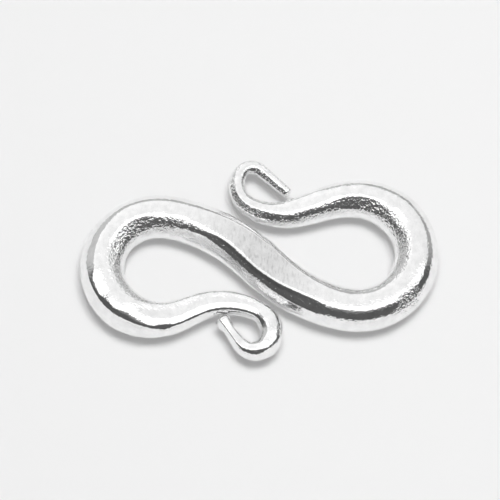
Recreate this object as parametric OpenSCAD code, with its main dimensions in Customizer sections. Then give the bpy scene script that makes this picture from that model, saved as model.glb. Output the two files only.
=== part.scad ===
// S-shaped hook clasp: one length of round wire, drawn thinner towards both ends, bent into two
// wide bows with a small reversed curl at each tip, then hammered flat on its upper and lower faces.
// Millimetres. It lies flat with its underside at Z = 0, its length along X and the middle of its
// spine at the origin. A pair of values is [right-hand half, left-hand half] of the hook, and each
// bend is given by its inside radius, as if it were pulled round a peg, and by the angle it turns.

/* [Wire] */
// Thickness of the wire at the middle of the spine
spine_wire = 2.95; // [2.5:0.05:3.4]
// Thickness of the wire around the bows
bow_wire = 2.7; // [2.2:0.05:3.2]
// Thickness of the wire where the arms leave the bows
shoulder_wire = 1.9; // [1.5:0.05:2.3]
// Thickness of the wire where the arms run into the curls
arm_wire = 1.25; // [1.05:0.05:1.6]
// Thickness of the wire at the far side of each curl
curl_wire = [0.9, 1.4]; // [0.7:0.05:1.6]
// Thickness of the wire at each tip
tip_wire = [0.5, 0.7]; // [0.3:0.05:0.8]
// How far from its middle the spine has thinned to the thickness of the bows
spine_taper = 5.5; // [3:0.5:8]

/* [Hammered faces] */
// Height of the upper face over the bows
bow_height = 2.6; // [2.3:0.05:2.7]
// Height of the upper face at the middle of the spine, where it was struck hardest
spine_height = 2.4; // [2.1:0.05:2.6]
// Widest share of the wire's own thickness that is left between the faces of the thin ends
thin_share = 0.97; // [0.8:0.01:0.99]

/* [Spine] */
// Slant of the spine away from the length of the hook
spine_slant = 43.5; // [35:0.5:50]
// Length of the straight middle of the spine
spine_length = 1.4; // [0.8:0.1:2.4]

/* [Bows] */
// Inside radius of the slow bend that leads from the spine into each bow
lead_radius = [8.8, 9.2]; // [7:0.1:11]
// Angle that the lead bend turns
lead_turn = [29, 32]; // [24:0.5:38]
// Inside radius around the end of each bow
bow_radius = [2.3, 2.05]; // [1.8:0.05:2.8]
// Angle turned around the end of each bow
bow_turn = [152, 155.5]; // [146:0.5:160]
// Inside radius of the last bend of each bow
shoulder_radius = [2.55, 2]; // [1.6:0.05:3]
// Clear gap between each arm or curl and the spine: the last bend of the bow is turned to leave it
mouth = [0.52, 0.38]; // [0.05:0.01:1]

/* [Arms] */
// Straight length between each bow and the bend of its arm
arm_start = [2.2, 0]; // [0:0.05:2.6]
// Inside radius of the bend that turns each arm away from the spine
arm_radius = [2.7, 3.4]; // [2.2:0.05:4.2]
// Angle that the bend of each arm turns
arm_turn = [50, 61.5]; // [44:0.5:66]

/* [Curls] */
// Inside radius of the first half of each curl
curl_radius = [1.2, 0.8]; // [0.7:0.05:1.5]
// Angle turned in the first half of each curl
curl_turn = [96.5, 96]; // [90:0.5:102]
// Inside radius of the tight second half of each curl
eye_radius = [0.2, 0.25]; // [0.15:0.05:0.4]
// Angle turned in the second half of each curl
eye_turn = [95, 111]; // [90:0.5:115]
// Clear gap between the end of each tip and the arm that it points at
tip_gap = [0.3, 0.06]; // [0.02:0.01:0.5]

/* [Hidden] */

silver = [0.86, 0.86, 0.87];

// Length over which the wire eases into and out of a bend of a bow, and of an arm or a curl
bow_ease = 2.5;
curl_ease = 1.2;
// Spacing of the sections along the wire, and how many sides each rounded flank has
section_step = 0.4;
flank_sides = 7;
// Sections that round each tip off
tip_sections = 3;
// Lengths that are tried for each tip: the step between them, and the longest
tip_step = 0.05;
longest_tip = 4;
// Turn from which each shoulder is closed, well short of where it ends up
first_turn = 20;

// Height of the wire's centre line, the same along the whole hook
centre_height = bow_height / 2;

// Each half is a list of bends, in order from the spine to the tip. A bend is
// [straight wire before it, inside radius, angle turned, wire thickness, easing length],
// and its angle is positive where the wire turns to the left as seen from above.
function bends(end, shoulder_turn) = [
    [spine_length / 2, lead_radius[end], lead_turn[end], bow_wire, bow_ease],
    [0, bow_radius[end], bow_turn[end], bow_wire, bow_ease],
    [0, shoulder_radius[end], shoulder_turn, bow_wire, bow_ease],
    [arm_start[end], arm_radius[end], -arm_turn[end], shoulder_wire, curl_ease],
    [0, curl_radius[end], -curl_turn[end], curl_wire[end], curl_ease],
    [0, eye_radius[end], -eye_turn[end], curl_wire[end], curl_ease],
];
// Places of those bends in the list
lead = 0;
bow = 1;
shoulder = 2;
arm = 3;
curl = 4;
eye = 5;

// Length of wire in a bend, along the centre line
function bend_length(bend) = abs(bend[2]) * PI / 180 * (bend[1] + bend[3] / 2);

// Where bend number i starts, measured along the wire from the middle of the spine
function bend_start(list, i) = list[i][0] + (i == 0 ? 0 : bend_end(list, i - 1));
function bend_end(list, i) = bend_start(list, i) + bend_length(list[i]);

// Share of a bend that is turned by distance x from its start, from 0 to 1. The turn rises at a
// steady rate, and is averaged over the easing length so that the wire never kinks.
function half_square(x) = pow(max(x, 0), 2) / 2;
function turned(x, length, ease) =
    (half_square(x + ease / 2) - half_square(x - ease / 2)
     - half_square(x - length + ease / 2) + half_square(x - length - ease / 2)) / (ease * length);

// Direction of the wire in plan at distance s from the middle of the spine
function heading(list, s, i = 0) =
    i == len(list) ? -spine_slant
    : let (length = bend_length(list[i]), ease = min(list[i][4], length))
      list[i][2] * turned(s - bend_start(list, i), length, ease) + heading(list, s, i + 1);

// Thickness of the wire at distance s from the middle of the spine, in a half of the given length
function thickness(end, list, length, s) =
    lookup(s, [
        [0, spine_wire],
        [spine_taper, bow_wire],
        [bend_end(list, bow), bow_wire],
        [bend_end(list, shoulder) + arm_start[end], shoulder_wire],
        [bend_start(list, curl), arm_wire],
        [bend_start(list, eye), curl_wire[end]],
        [length, tip_wire[end]],
    ]);

// Height of the upper face above the centre line, which dips smoothly over the middle of the spine
function upper_face(s) =
    let (dip = (1 + cos(180 * min(s / spine_taper, 1))) / 2)
    bow_height - centre_height - dip * (bow_height - spine_height);

// Centre line of a half of the given length, as evenly spaced stations from the middle of the
// spine to the tip. A station is [place in plan, distance from the middle of the spine, thickness].
function centre_line(end, list, length) =
    let (count = ceil(length / section_step), step = length / count)
    [for (i = 0, p = [0, 0], a = heading(list, step / 2); i <= count;
          i = i + 1, p = p + step * [cos(a), sin(a)], a = heading(list, (i + 0.5) * step))
        [p, i * step, thickness(end, list, length, i * step)]];

// Stations of a line between two distances, and the smallest clear gap between two sets of them
function stretch(line, from, to) =
    [for (station = line) if (station[1] >= from && station[1] <= to) station];
function clear_gap(one, other) = min([for (a = one, b = other) norm(a[0] - b[0]) - (a[2] + b[2]) / 2]);

// The spine with the leads into both bows, as it lies beside the given half
function spine_half(end) =
    let (list = bends(end, first_turn), line = centre_line(end, list, bend_end(list, eye)))
    stretch(line, 0, bend_end(list, lead));
function turned_station(station) = [-station[0], station[1], station[2]];
function spine_beside(end) =
    concat(spine_half(end), [for (station = spine_half(1 - end)) turned_station(station)]);

// Gap that is left between the spine and the arm and curl when the shoulder is turned this far
function mouth_left(end, spine, turn) =
    let (list = bends(end, turn), line = centre_line(end, list, bend_end(list, eye)))
    clear_gap(spine, stretch(line, bend_start(list, arm), bend_end(list, curl)));

// Turn of the shoulder: the bow is closed degree by degree until only the mouth is left open
function closed(end, spine, turn, left) =
    let (next = mouth_left(end, spine, turn + 1))
    next > mouth[end] ? closed(end, spine, turn + 1, next) : turn + (left - mouth[end]) / (left - next);
function shoulder_turn(end) =
    let (spine = spine_beside(end)) closed(end, spine, first_turn, mouth_left(end, spine, first_turn));
half = [for (end = [0, 1]) bends(end, shoulder_turn(end))];

// Length of the wire in each half: the tip runs on from the eye until it ends the tip gap short of
// its own arm, or, where it would miss the arm, as near to the arm as it comes
function tip_left(end, length) =
    let (line = centre_line(end, half[end], length), list = half[end])
    clear_gap([line[len(line) - 1]], stretch(line, bend_start(list, arm), bend_start(list, curl)));
function wire_length(end) =
    let (least = bend_end(half[end], eye),
         tries = [for (longer = [0:tip_step:longest_tip]) [least + longer, tip_left(end, least + longer)]],
         nearest = max(tip_gap[end], min([for (try = tries) try[1]])))
    [for (try = tries) if (try[1] <= nearest) try[0]][0];
half_length = [for (end = [0, 1]) wire_length(end)];

// One half of the wire as sections, each [place, direction, thickness, upper face, lower face].
// The last sections shrink along a quarter circle, which rounds the tip.
function sections(end) =
    let (list = half[end], length = half_length[end], line = centre_line(end, list, length),
         tip = line[len(line) - 1][0], direction = heading(list, length), round = tip_wire[end] / 2)
    concat(
        [for (station = line)
            [station[0], heading(list, station[1]), station[2], upper_face(station[1]), centre_height]],
        [for (i = [1:tip_sections])
            let (a = 80 * i / tip_sections, place = tip + round * sin(a) * [cos(direction), sin(direction)])
            [place, direction, tip_wire[end] * cos(a), centre_height, centre_height]]);

// The left-hand half is laid out like the right-hand one and then turned half round
function turned_section(s) = [-s[0], s[1], s[2], s[3], s[4]];
function turned_round(list) = [for (i = [len(list) - 1:-1:1]) turned_section(list[i])];

// Outline of the wire at a section: a round cut off flat above and below. Its points run up the
// left flank from the lower face to the upper one, and down the right flank.
function outline(section) =
    let (radius = section[2] / 2, side = [-sin(section[1]), cos(section[1])],
         top = asin(min(section[3] / radius, thin_share)),
         bottom = asin(min(section[4] / radius, thin_share)))
    [for (flank = [1, -1], i = [0:flank_sides])
        let (share = (flank > 0 ? i : flank_sides - i) / flank_sides,
             a = -bottom + share * (top + bottom), edge = section[0] + flank * radius * cos(a) * side)
        [edge[0], edge[1], centre_height + radius * sin(a)]];

module s_hook() {
    wire = concat(turned_round(sections(1)), sections(0));
    ring = 2 * (flank_sides + 1);
    last = len(wire) - 1;
    points = [for (section = wire) each outline(section)];
    skin = [for (i = [0:last - 1], k = [0:ring - 1])
        let (a = i * ring + k, b = i * ring + (k + 1) % ring)
        each [[a, b, b + ring], [a, b + ring, a + ring]]];
    ends = [[for (k = [ring - 1:-1:0]) k], [for (k = [0:ring - 1]) last * ring + k]];
    color(silver) polyhedron(points = points, faces = concat(skin, ends), convexity = 10);
}

s_hook();
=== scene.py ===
import math
import bmesh
import bpy
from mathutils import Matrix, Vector, noise


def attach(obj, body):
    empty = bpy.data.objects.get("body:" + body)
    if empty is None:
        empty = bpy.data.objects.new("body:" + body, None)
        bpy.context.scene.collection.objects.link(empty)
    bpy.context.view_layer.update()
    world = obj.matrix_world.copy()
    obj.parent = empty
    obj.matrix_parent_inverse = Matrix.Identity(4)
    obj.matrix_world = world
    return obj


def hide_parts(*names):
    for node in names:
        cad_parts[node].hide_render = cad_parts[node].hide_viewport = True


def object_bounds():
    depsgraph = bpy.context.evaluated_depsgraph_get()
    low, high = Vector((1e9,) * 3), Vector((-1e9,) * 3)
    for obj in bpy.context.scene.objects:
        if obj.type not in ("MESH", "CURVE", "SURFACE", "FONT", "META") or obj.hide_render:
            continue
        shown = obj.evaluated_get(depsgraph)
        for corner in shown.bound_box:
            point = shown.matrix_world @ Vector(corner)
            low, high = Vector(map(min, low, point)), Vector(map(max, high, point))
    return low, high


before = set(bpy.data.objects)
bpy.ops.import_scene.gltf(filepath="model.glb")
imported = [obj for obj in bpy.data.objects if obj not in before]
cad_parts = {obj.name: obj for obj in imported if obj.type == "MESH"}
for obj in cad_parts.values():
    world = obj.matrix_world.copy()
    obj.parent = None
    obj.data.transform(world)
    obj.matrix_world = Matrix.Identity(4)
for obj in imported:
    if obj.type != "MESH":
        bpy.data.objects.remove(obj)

cad_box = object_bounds()
MM = 0.001

# ---------------------------------------------------------------------------------------------
# Camera. A long lens looks down on the hook from its near side, high enough to see into both
# bows, with the hook a little right of and above the middle of the picture.
view_elevation = math.radians(68)
view_distance = 0.220
view_width = 30.864 * MM
sensor_width = 36.0
aim_right = -0.694 * MM
aim_up = 1.391 * MM
right = Vector((1, 0, 0))
up = Vector((0, math.sin(view_elevation), math.cos(view_elevation)))
back = Vector((0, -math.cos(view_elevation), math.sin(view_elevation)))
camera_data = bpy.data.cameras.new("camera")
camera_data.sensor_width = sensor_width
camera_data.lens = sensor_width * view_distance / view_width
camera_data.clip_start = 0.01
camera = bpy.data.objects.new("camera", camera_data)
camera.location = aim_right * right + aim_up * up + view_distance * back
camera.rotation_euler = (math.pi / 2 - view_elevation, 0, 0)
bpy.context.collection.objects.link(camera)
bpy.context.scene.camera = camera
bpy.context.scene.view_settings.view_transform = "Standard"

# ---------------------------------------------------------------------------------------------
# Studio. A pale matt sheet, lit by a soft lamp box and a wide faint fill, in a dim room with paler
# walls behind. The silver mirrors a white panel overhead and two pale cards, behind and in front.
# The panel and cards show only in the silver; the lamp box and fill light only the sheet.
world = bpy.data.worlds.new("dim_room")
world.use_nodes = True
bpy.context.scene.world = world
room_shade = 0.10
left_wall_shade = 0.58
right_wall_shade = 0.38
ceiling_glow = 0.22

# Where the walls and the ceiling's glow begin and are full, as how far a unit step in the direction
# looked in goes sideways, backwards or up.
wall_spread = 0.6
back_wall_edges = (0.05, 0.35)
ceiling_edges = (0.80, 0.96)
nodes, links = world.node_tree.nodes, world.node_tree.links
direction = nodes.new("ShaderNodeSeparateXYZ")
links.new(nodes.new("ShaderNodeTexCoord").outputs["Generated"], direction.inputs["Vector"])
across_room = nodes.new("ShaderNodeMapRange")
across_room.inputs["From Min"].default_value = -wall_spread
across_room.inputs["From Max"].default_value = wall_spread
across_room.inputs["To Min"].default_value = left_wall_shade
across_room.inputs["To Max"].default_value = right_wall_shade
links.new(direction.outputs["X"], across_room.inputs["Value"])
towards_back = nodes.new("ShaderNodeMapRange")
towards_back.inputs["From Min"].default_value = back_wall_edges[0]
towards_back.inputs["From Max"].default_value = back_wall_edges[1]
links.new(direction.outputs["Y"], towards_back.inputs["Value"])

# The paler walls and the glow of the ceiling are only seen and mirrored, and don't light the sheet.
seen = nodes.new("ShaderNodeLightPath")
seen_direct = nodes.new("ShaderNodeMath")
seen_direct.operation = "MAXIMUM"
links.new(seen.outputs["Is Camera Ray"], seen_direct.inputs[0])
links.new(seen.outputs["Is Glossy Ray"], seen_direct.inputs[1])
seen_at_all = nodes.new("ShaderNodeMath")
seen_at_all.operation = "MAXIMUM"
links.new(seen_direct.outputs["Value"], seen_at_all.inputs[0])
links.new(seen.outputs["Is Transmission Ray"], seen_at_all.inputs[1])
back_seen = nodes.new("ShaderNodeMath")
back_seen.operation = "MULTIPLY"
links.new(towards_back.outputs["Result"], back_seen.inputs[0])
links.new(seen_at_all.outputs["Value"], back_seen.inputs[1])
shade = nodes.new("ShaderNodeMix")
shade.inputs["A"].default_value = room_shade
links.new(back_seen.outputs["Value"], shade.inputs["Factor"])
links.new(across_room.outputs["Result"], shade.inputs["B"])
ceiling = nodes.new("ShaderNodeMapRange")
ceiling.inputs["From Min"].default_value = ceiling_edges[0]
ceiling.inputs["From Max"].default_value = ceiling_edges[1]
ceiling.inputs["To Max"].default_value = ceiling_glow
links.new(direction.outputs["Z"], ceiling.inputs["Value"])
ceiling_in_front = nodes.new("ShaderNodeMath")
ceiling_in_front.operation = "MULTIPLY_ADD"
links.new(towards_back.outputs["Result"], ceiling_in_front.inputs[0])
ceiling_in_front.inputs[1].default_value = -1.0
links.new(seen_at_all.outputs["Value"], ceiling_in_front.inputs[2])
ceiling_in_front.use_clamp = True
glow = nodes.new("ShaderNodeMath")
glow.operation = "MULTIPLY_ADD"
links.new(ceiling.outputs["Result"], glow.inputs[0])
links.new(ceiling_in_front.outputs["Value"], glow.inputs[1])
links.new(shade.outputs["Result"], glow.inputs[2])
links.new(glow.outputs["Value"], nodes["Background"].inputs["Color"])

floor_reach = 1.5
floor_shade = 0.90
sheet = bmesh.new()
bmesh.ops.create_grid(sheet, x_segments=1, y_segments=1, size=floor_reach)
floor_mesh = bpy.data.meshes.new("floor")
sheet.to_mesh(floor_mesh)
sheet.free()
floor = bpy.data.objects.new("floor", floor_mesh)
bpy.context.collection.objects.link(floor)
matt = bpy.data.materials.new("matt_sheet")
matt.use_nodes = True
shader = matt.node_tree.nodes["Principled BSDF"]
shader.inputs["Base Color"].default_value = (floor_shade, floor_shade, floor_shade, 1)
shader.inputs["Roughness"].default_value = 1.0
shader.inputs["Specular IOR Level"].default_value = 0.0
floor_mesh.materials.append(matt)


def soft_light(name, left, right, near, far, brightness):
    """A flat light between its near and far edges, both (y, z) in metres, seen at this brightness."""
    lamp = bpy.data.lights.new(name, "AREA")
    lamp.shape = "RECTANGLE"
    lamp.size = right - left
    lamp.size_y = math.dist(near, far)
    lamp.energy = brightness * math.pi * lamp.size * lamp.size_y
    box = bpy.data.objects.new(name, lamp)
    box.location = ((left + right) / 2, (near[0] + far[0]) / 2, (near[1] + far[1]) / 2)
    box.rotation_euler = (math.atan2(far[1] - near[1], far[0] - near[0]), 0, 0)
    bpy.context.collection.objects.link(box)
    return box


panel = soft_light("panel", -0.234, 0.430, (-0.092, 0.300), (0.085, 0.300), 1.06)
card_behind = soft_light("card_behind", -0.190, 0.420, (0.087, 0.302), (0.446, 0.144), 0.50)
card_in_front = soft_light("card_in_front", -0.600, 0.600, (-0.500, 0.0), (-0.500, 0.125), 0.80)
for card in (panel, card_behind, card_in_front):
    card.visible_diffuse = False
lamp_box = soft_light("lamp_box", -0.040, 0.095, (-0.030, 0.298), (0.068, 0.298), 16.0)
fill = soft_light("fill", -0.300, 0.320, (-0.092, 0.296), (0.085, 0.296), 0.80)
for lamp in (lamp_box, fill):
    lamp.visible_glossy = False

# ---------------------------------------------------------------------------------------------
# Hook. One length of round silver wire, drawn thin towards both ends, pulled round pegs into two
# bows with a reversed curl at each tip, hammered flat above and below, and tumbled bright.
# Sizes are in mm, and a pair is for the right half and the left half.
spine_wire = 2.95
bow_wire = 2.70
shoulder_wire = 1.90
arm_wire = 1.25
curl_wire = (0.90, 1.40)
knuckle = (1.12, 1.46)
knuckle_run = 0.7
tip_stem = (0.78, 0.70)
tip_wire = (0.68, 0.98)
tip_flare = (1.2, 0.8)
tip_run = (2.35, 1.90)
spine_taper = 5.5
spine_slant = math.radians(-43.5)
bow_ease = 2.5
curl_ease = 1.2

# How far the hammered faces lie from the wire's middle; on thin wire, as a share of its radius.
bow_face = 1.30
spine_face = 1.10
thin_face = 0.97
centre_height = cad_box[1][2] / MM / 2

# A bend is (straight wire before it, inside radius, degrees turned, wire thickness, easing), from
# the middle of the spine to the tip, for the right half and for the left half.
bends = (
    ((0.70, 8.80, 29.0, bow_wire, bow_ease), (0.0, 2.30, 152.0, bow_wire, bow_ease),
     (0.0, 2.55, 61.45, bow_wire, bow_ease), (2.20, 2.70, -50.0, shoulder_wire, curl_ease),
     (0.0, 1.20, -96.5, curl_wire[0], curl_ease), (0.0, 0.20, -95.0, curl_wire[0], curl_ease)),
    ((0.70, 9.20, 32.0, bow_wire, bow_ease), (0.0, 2.05, 155.5, bow_wire, bow_ease),
     (0.0, 2.00, 68.1, bow_wire, bow_ease), (0.0, 3.40, -61.5, shoulder_wire, curl_ease),
     (0.0, 0.80, -96.0, curl_wire[1], curl_ease), (0.0, 0.25, -111.0, curl_wire[1], curl_ease)),
)


def bend_places(half):
    """Where each bend of a half starts and ends, in mm along the wire."""
    places, along = [], 0.0
    for run, radius, turn, thick, ease in bends[half]:
        start = along + run
        along = start + math.radians(abs(turn)) * (radius + thick / 2)
        places.append((start, along))
    return places


def half_square(x):
    """The area under a slope that starts at zero, from which a bend gets its easing."""
    return max(x, 0.0) ** 2 / 2


def heading(half, along):
    """Direction of the wire in plan, eased into and out of every bend."""
    angle = spine_slant
    for (run, radius, turn, thick, ease), (start, end) in zip(bends[half], bend_places(half)):
        length = end - start
        soft = min(ease, length)
        x = along - start
        turned = (half_square(x + soft / 2) - half_square(x - soft / 2)
                  - half_square(x - length + soft / 2) + half_square(x - length - soft / 2))
        angle += math.radians(turn) * (turned / (soft * length))
    return angle


def between(along, points):
    """The value at a distance along the wire, on straight runs between (distance, value) points."""
    if along <= points[0][0]:
        return points[0][1]
    for (a, low), (b, high) in zip(points, points[1:]):
        if along <= b:
            return low + (high - low) * (along - a) / (b - a)
    return points[-1][1]


def thickness_points(half):
    """The wire's thickness from the middle of the spine to the tip, as (distance, value) points."""
    places = bend_places(half)
    end = places[5][1] + tip_run[half]
    return [
        (0.0, spine_wire),
        (spine_taper, bow_wire),
        (places[1][1], bow_wire),
        (places[2][1] + bends[half][3][0], shoulder_wire),
        (places[4][0], arm_wire),
        (places[4][0] + knuckle_run, knuckle[half]),
        (places[5][0], curl_wire[half]),
        (end - tip_flare[half], tip_stem[half]),
        (end, tip_wire[half]),
    ]


def near_middle(along):
    """1 at the middle of the spine, falling smoothly to 0 where the spine has tapered."""
    return (1 + math.cos(math.pi * min(abs(along) / spine_taper, 1))) / 2


# A blow of the hammer is (place along the wire, degrees round it from its left side over the top,
# share of the radius left under the flat, half the length of the flat). Places are in mm from the
# middle of the spine, below zero in the left half, whose tip is where left and right are seen from.
# The edges of each flat are rounded by blow_edge.
blow_edge = 0.03
blows = (
    (-29.3, 150, 0.80, 2.7),
    (-29.3, 88, 0.90, 2.9),
    (-28.1, 122, 0.85, 0.8),
    (-20.9, 76, 0.848, 4.5),
    (-20.9, 92, 0.785, 4.7),
    (-18.3, 51, 0.955, 0.35),
    (-15.2, 31, 0.94, 2.5),
    (-14.1, 75, 0.935, 0.9),
    (-10.2, 119, 0.94, 2.8),
    (-1.0, 151, 0.928, 5.4),
    (0.6, 120, 0.875, 4.4),
    (14.8, 74, 0.950, 0.9),
    (17.9, 60, 0.930, 2.0),
    (21.6, 104, 0.90, 1.8),
    (25.2, 55, 0.91, 2.2),
    (27.6, 78, 0.90, 0.9),
    (30.6, 123, 0.88, 2.2),
)

# How soon the finish of the hammered face gives way at its edges, how rounded they are on the bows
# and the spine, how far it leans across the spine, and the low lip raised along its left edge.
face_edge = 0.05
bow_edge = 0.05
spine_edge = 0.15
spine_lean = 0.08
lip_start = 0.45
lip_rise = 0.30
lip_points = [(-4.0, 0.0), (-2.5, 1.0), (0.0, 0.5), (2.5, 0.8), (4.0, 0.0)]

# Marks and smaller dimples of the hammer face all over, and how much deeper they are by place.
mark_size = 0.9
mark_depth = 0.014
dimple_size = 0.38
dimple_depth = 0.004
forged_points = [(-31, 2.2), (-17, 2.6), (-14.5, 1.0), (21, 1.0), (26, 2.4), (33, 2.4)]

# How much of the spine's strokes and their painted shade the bows' faces show, and how grainy the face
# and the two flanks are left, from 0 to 1. The grain of a flank goes by place along the wire, and is
# full from a third of the way out from the wire's middle.
bow_strokes = 0.12
smooth_grain = 0.10
grain_onset = 3
left_grain = [(9, 0.12), (11, 0.6), (14, 0.8), (19, 0.5), (25, 0.6), (28, 1.0), (33, 1.0)]
right_grain = [(-30, 0.3), (-16, 0.5), (-12, 0.7), (-6, 0.7), (-4, 0.3), (3, 0.25), (6, 0.2),
               (8.4, 0.2), (9.1, 1.0), (9.9, 0.9), (10.6, 0.2), (27, 0.2), (29, 0.8)]

# The bent wire as stations from the left half's tip to the right half's, each (x, y, direction,
# radius, place along the wire).
step = 0.11
fine = 4
stations = []
for half in (1, 0):
    length = bend_places(half)[-1][1] + tip_run[half]
    count = round(length / step)
    widths = thickness_points(half)
    part = length / (count * fine)
    x = y = 0.0
    line = []
    for i in range(count * fine + 1):
        along = i * part
        if i % fine == 0:
            line.append((x, y, heading(half, along), between(along, widths) / 2, along))
        a = heading(half, along + part / 2)
        x += part * math.cos(a)
        y += part * math.sin(a)
    if half:
        line = [(-x, -y, a, r, -s) for x, y, a, r, s in reversed(line)][:-1]
    stations += line

ring_sides = 96
bm = bmesh.new()
hammered = bm.verts.layers.float.new("hammered")
grainy = bm.verts.layers.float.new("grainy")


def soft_limit(height, limit, rounding):
    """height, rounded off below limit, as a hammered face meets the round of the wire."""
    gap = height - limit
    return 0.5 * (height + limit - math.sqrt(gap * gap + rounding * rounding))


def place_ring(verts, station, shrink=1.0, ahead=0.0):
    """Puts one ring of vertices round the wire, flattened by the hammer and marked by its face."""
    x, y, a, radius, along = station
    middle = near_middle(along)
    top = min(bow_face - middle * (bow_face - spine_face), thin_face * radius)
    bottom = min(bow_face, thin_face * radius)
    rounding = bow_edge + middle * (spine_edge - bow_edge)
    side = Vector((-math.sin(a), math.cos(a), 0))
    centre = Vector((x + ahead * math.cos(a), y + ahead * math.sin(a), centre_height))
    for i, v in enumerate(verts):
        t = 2 * math.pi * i / ring_sides
        out, high = radius * math.cos(t), radius * math.sin(t)
        lip = lip_rise * between(along, lip_points) * max(0.0, out - lip_start) ** 2
        lean = lip - middle * spine_lean * out
        flat = max(0.0, min(1.0, (high - top) / face_edge + 0.5))
        if high > 0:
            high = soft_limit(high, top + lean, rounding)
        else:
            high = -soft_limit(-high, bottom, bow_edge)
        for place, round_it, share, half_length in blows:
            if abs(along - place) < half_length:
                f = math.radians(round_it)
                reach = out * math.cos(f) + high * math.sin(f)
                limit = radius * (share + (1 - share) * ((along - place) / half_length) ** 4)
                cut = soft_limit(reach, limit, blow_edge) - reach
                out += cut * math.cos(f)
                high += cut * math.sin(f)
        outwards = out * side + high * Vector((0, 0, 1))
        spot = centre + outwards
        mark = mark_depth * (0.5 + 0.5 * noise.noise(spot / mark_size))
        dimple = dimple_depth * (0.5 + 0.5 * noise.noise(spot / dimple_size))
        press = 1 - (mark + dimple) * between(along, forged_points) * min(1.0, radius) / radius
        v.co = (centre + shrink * press * outwards) * MM
        # Where the top face takes the hammer strokes and the painted shade that darkens it, most on
        # the spine.
        v[hammered] = flat * (bow_strokes + (1 - bow_strokes) * middle)
        flank_grain = between(along, left_grain if math.cos(t) > 0 else right_grain)
        flank = (1 - flat) * min(1.0, abs(math.cos(t)) * grain_onset)
        v[grainy] = smooth_grain + (flank_grain - smooth_grain) * flank


# The first ring is drawn along the stations, with a blunt round at each tip closed to a pole.
start_ring = bmesh.ops.create_circle(bm, segments=ring_sides, radius=MM)["verts"]
round_steps = 5
blunt = 0.6
first, last = stations[0], stations[-1]
caps = [math.radians(90 * (1 - i / round_steps)) for i in range(1, round_steps)]
plan = [(first, math.cos(c), -blunt * first[3] * math.sin(c)) for c in caps]
plan += [(s, 1.0, 0.0) for s in stations]
plan += [(last, math.cos(c), blunt * last[3] * math.sin(c)) for c in reversed(caps)]
ring = start_ring
for number, (station, shrink, ahead) in enumerate(plan):
    if number:
        loop = [next(e for e in v.link_edges if e.other_vert(v) == ring[i - ring_sides + 1])
                for i, v in enumerate(ring)]
        made = bmesh.ops.extrude_edge_only(bm, edges=loop)["geom"]
        fresh = {g for g in made if isinstance(g, bmesh.types.BMVert)}
        ring = [next(e.other_vert(v) for e in v.link_edges if e.other_vert(v) in fresh) for v in ring]
    place_ring(ring, station, shrink, ahead)
for verts, station, way in ((start_ring, first, -blunt), (ring, last, blunt)):
    x, y, a, radius, along = station
    pole = Vector((x + way * radius * math.cos(a), y + way * radius * math.sin(a), centre_height)) * MM
    bmesh.ops.pointmerge(bm, verts=verts, merge_co=pole)
bmesh.ops.recalc_face_normals(bm, faces=bm.faces)
hook_mesh = bpy.data.meshes.new("hook")
bm.to_mesh(hook_mesh)
bm.free()
hook_mesh.shade_smooth()
hook = bpy.data.objects.new("hook", hook_mesh)
bpy.context.collection.objects.link(hook)

# Silver tumbled bright: faintly cloudy, with soft strokes left across the hammered face of the
# spine and a fine grain left on the flanks. The hammered top face, most of all on the spine, is also
# darkened in its colour: painted shade for the duller grey it mirrors, laid over the strokes.
silver = bpy.data.materials.new("bright_silver")
silver.use_nodes = True
nodes, links = silver.node_tree.nodes, silver.node_tree.links
shader = nodes["Principled BSDF"]
shader.inputs["Metallic"].default_value = 1.0
place = nodes.new("ShaderNodeTexCoord")


def surface_noise(scale, detail, vector):
    """A pattern of noise with so many cells to the metre."""
    made = nodes.new("ShaderNodeTexNoise")
    made.inputs["Scale"].default_value = scale
    made.inputs["Detail"].default_value = detail
    links.new(vector, made.inputs["Vector"])
    return made.outputs["Fac"]


def spread(value, low, high, least, most):
    """value, stretched from low..high to least..most and held there."""
    made = nodes.new("ShaderNodeMapRange")
    for name, number in (("From Min", low), ("From Max", high), ("To Min", least), ("To Max", most)):
        made.inputs[name].default_value = number
    links.new(value, made.inputs["Value"])
    return made.outputs["Result"]


def times(one, other):
    """One value times the other."""
    made = nodes.new("ShaderNodeMath")
    made.operation = "MULTIPLY"
    links.new(one, made.inputs[0])
    links.new(other, made.inputs[1])
    return made.outputs["Value"]


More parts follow.
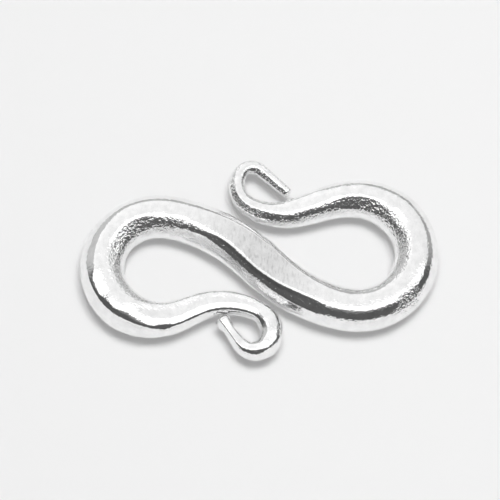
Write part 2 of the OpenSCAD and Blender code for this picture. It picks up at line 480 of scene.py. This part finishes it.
def layer(name):
    """The value that the mesh carries under this name."""
    made = nodes.new("ShaderNodeAttribute")
    made.attribute_name = name
    return made.outputs["Fac"]


# A pattern's scale is in cells to the metre. Noise lies mostly between noise_low and noise_high.
noise_low, noise_high = 0.3, 0.7
cloud_scale = 2000
clouded, clear = 0.87, 0.98
least_rough, most_rough = 0.05, 0.10
mottle_scale = 2600
least_mottle = 0.7
# Painted shade: mottle and strokes darken the hammered top face to the duller grey it mirrors.
mottle_painted_shade = 0.74
stroke_scale = 7000
stroke_low = 0.50
stroke_painted_shade = 0.80
stroke_stretch = 0.35
grain_scale = 6600
grain_height = 0.09 * MM
cloud = surface_noise(cloud_scale, 5, place.outputs["Object"])
across = nodes.new("ShaderNodeMapping")
across.inputs["Rotation"].default_value = (0, 0, -spine_slant)
across.inputs["Scale"].default_value = (1.0, stroke_stretch, 1.0)
links.new(place.outputs["Object"], across.inputs["Vector"])
strokes = surface_noise(stroke_scale, 3, across.outputs["Vector"])
strokes = spread(strokes, stroke_low, noise_high, 0.0, 1.0)
mottle = surface_noise(mottle_scale, 4, place.outputs["Object"])
mottle = spread(mottle, noise_low, noise_high, least_mottle, 1.0)
# Painted shade on the hammered top face, laid over the pattern of its strokes.
marked = times(spread(times(mottle, layer("hammered")), 0.0, 1.0, 1.0, mottle_painted_shade),
               spread(times(strokes, layer("hammered")), 0.0, 1.0, 1.0, stroke_painted_shade))
tone = times(spread(cloud, noise_low, noise_high, clouded, clear), marked)
colour = nodes.new("ShaderNodeCombineColor")
for channel in ("Red", "Green", "Blue"):
    links.new(tone, colour.inputs[channel])
links.new(colour.outputs["Color"], shader.inputs["Base Color"])
roughness = spread(cloud, noise_low, noise_high, least_rough, most_rough)
links.new(roughness, shader.inputs["Roughness"])
grain = surface_noise(grain_scale, 1.5, place.outputs["Object"])
bump = nodes.new("ShaderNodeBump")
bump.inputs["Distance"].default_value = grain_height
links.new(layer("grainy"), bump.inputs["Strength"])
links.new(grain, bump.inputs["Height"])
links.new(bump.outputs["Normal"], shader.inputs["Normal"])
hook_mesh.materials.append(silver)

# Its glints are kept off the sheet.
hook.visible_diffuse = False
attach(hook, "root")
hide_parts("s_hook")
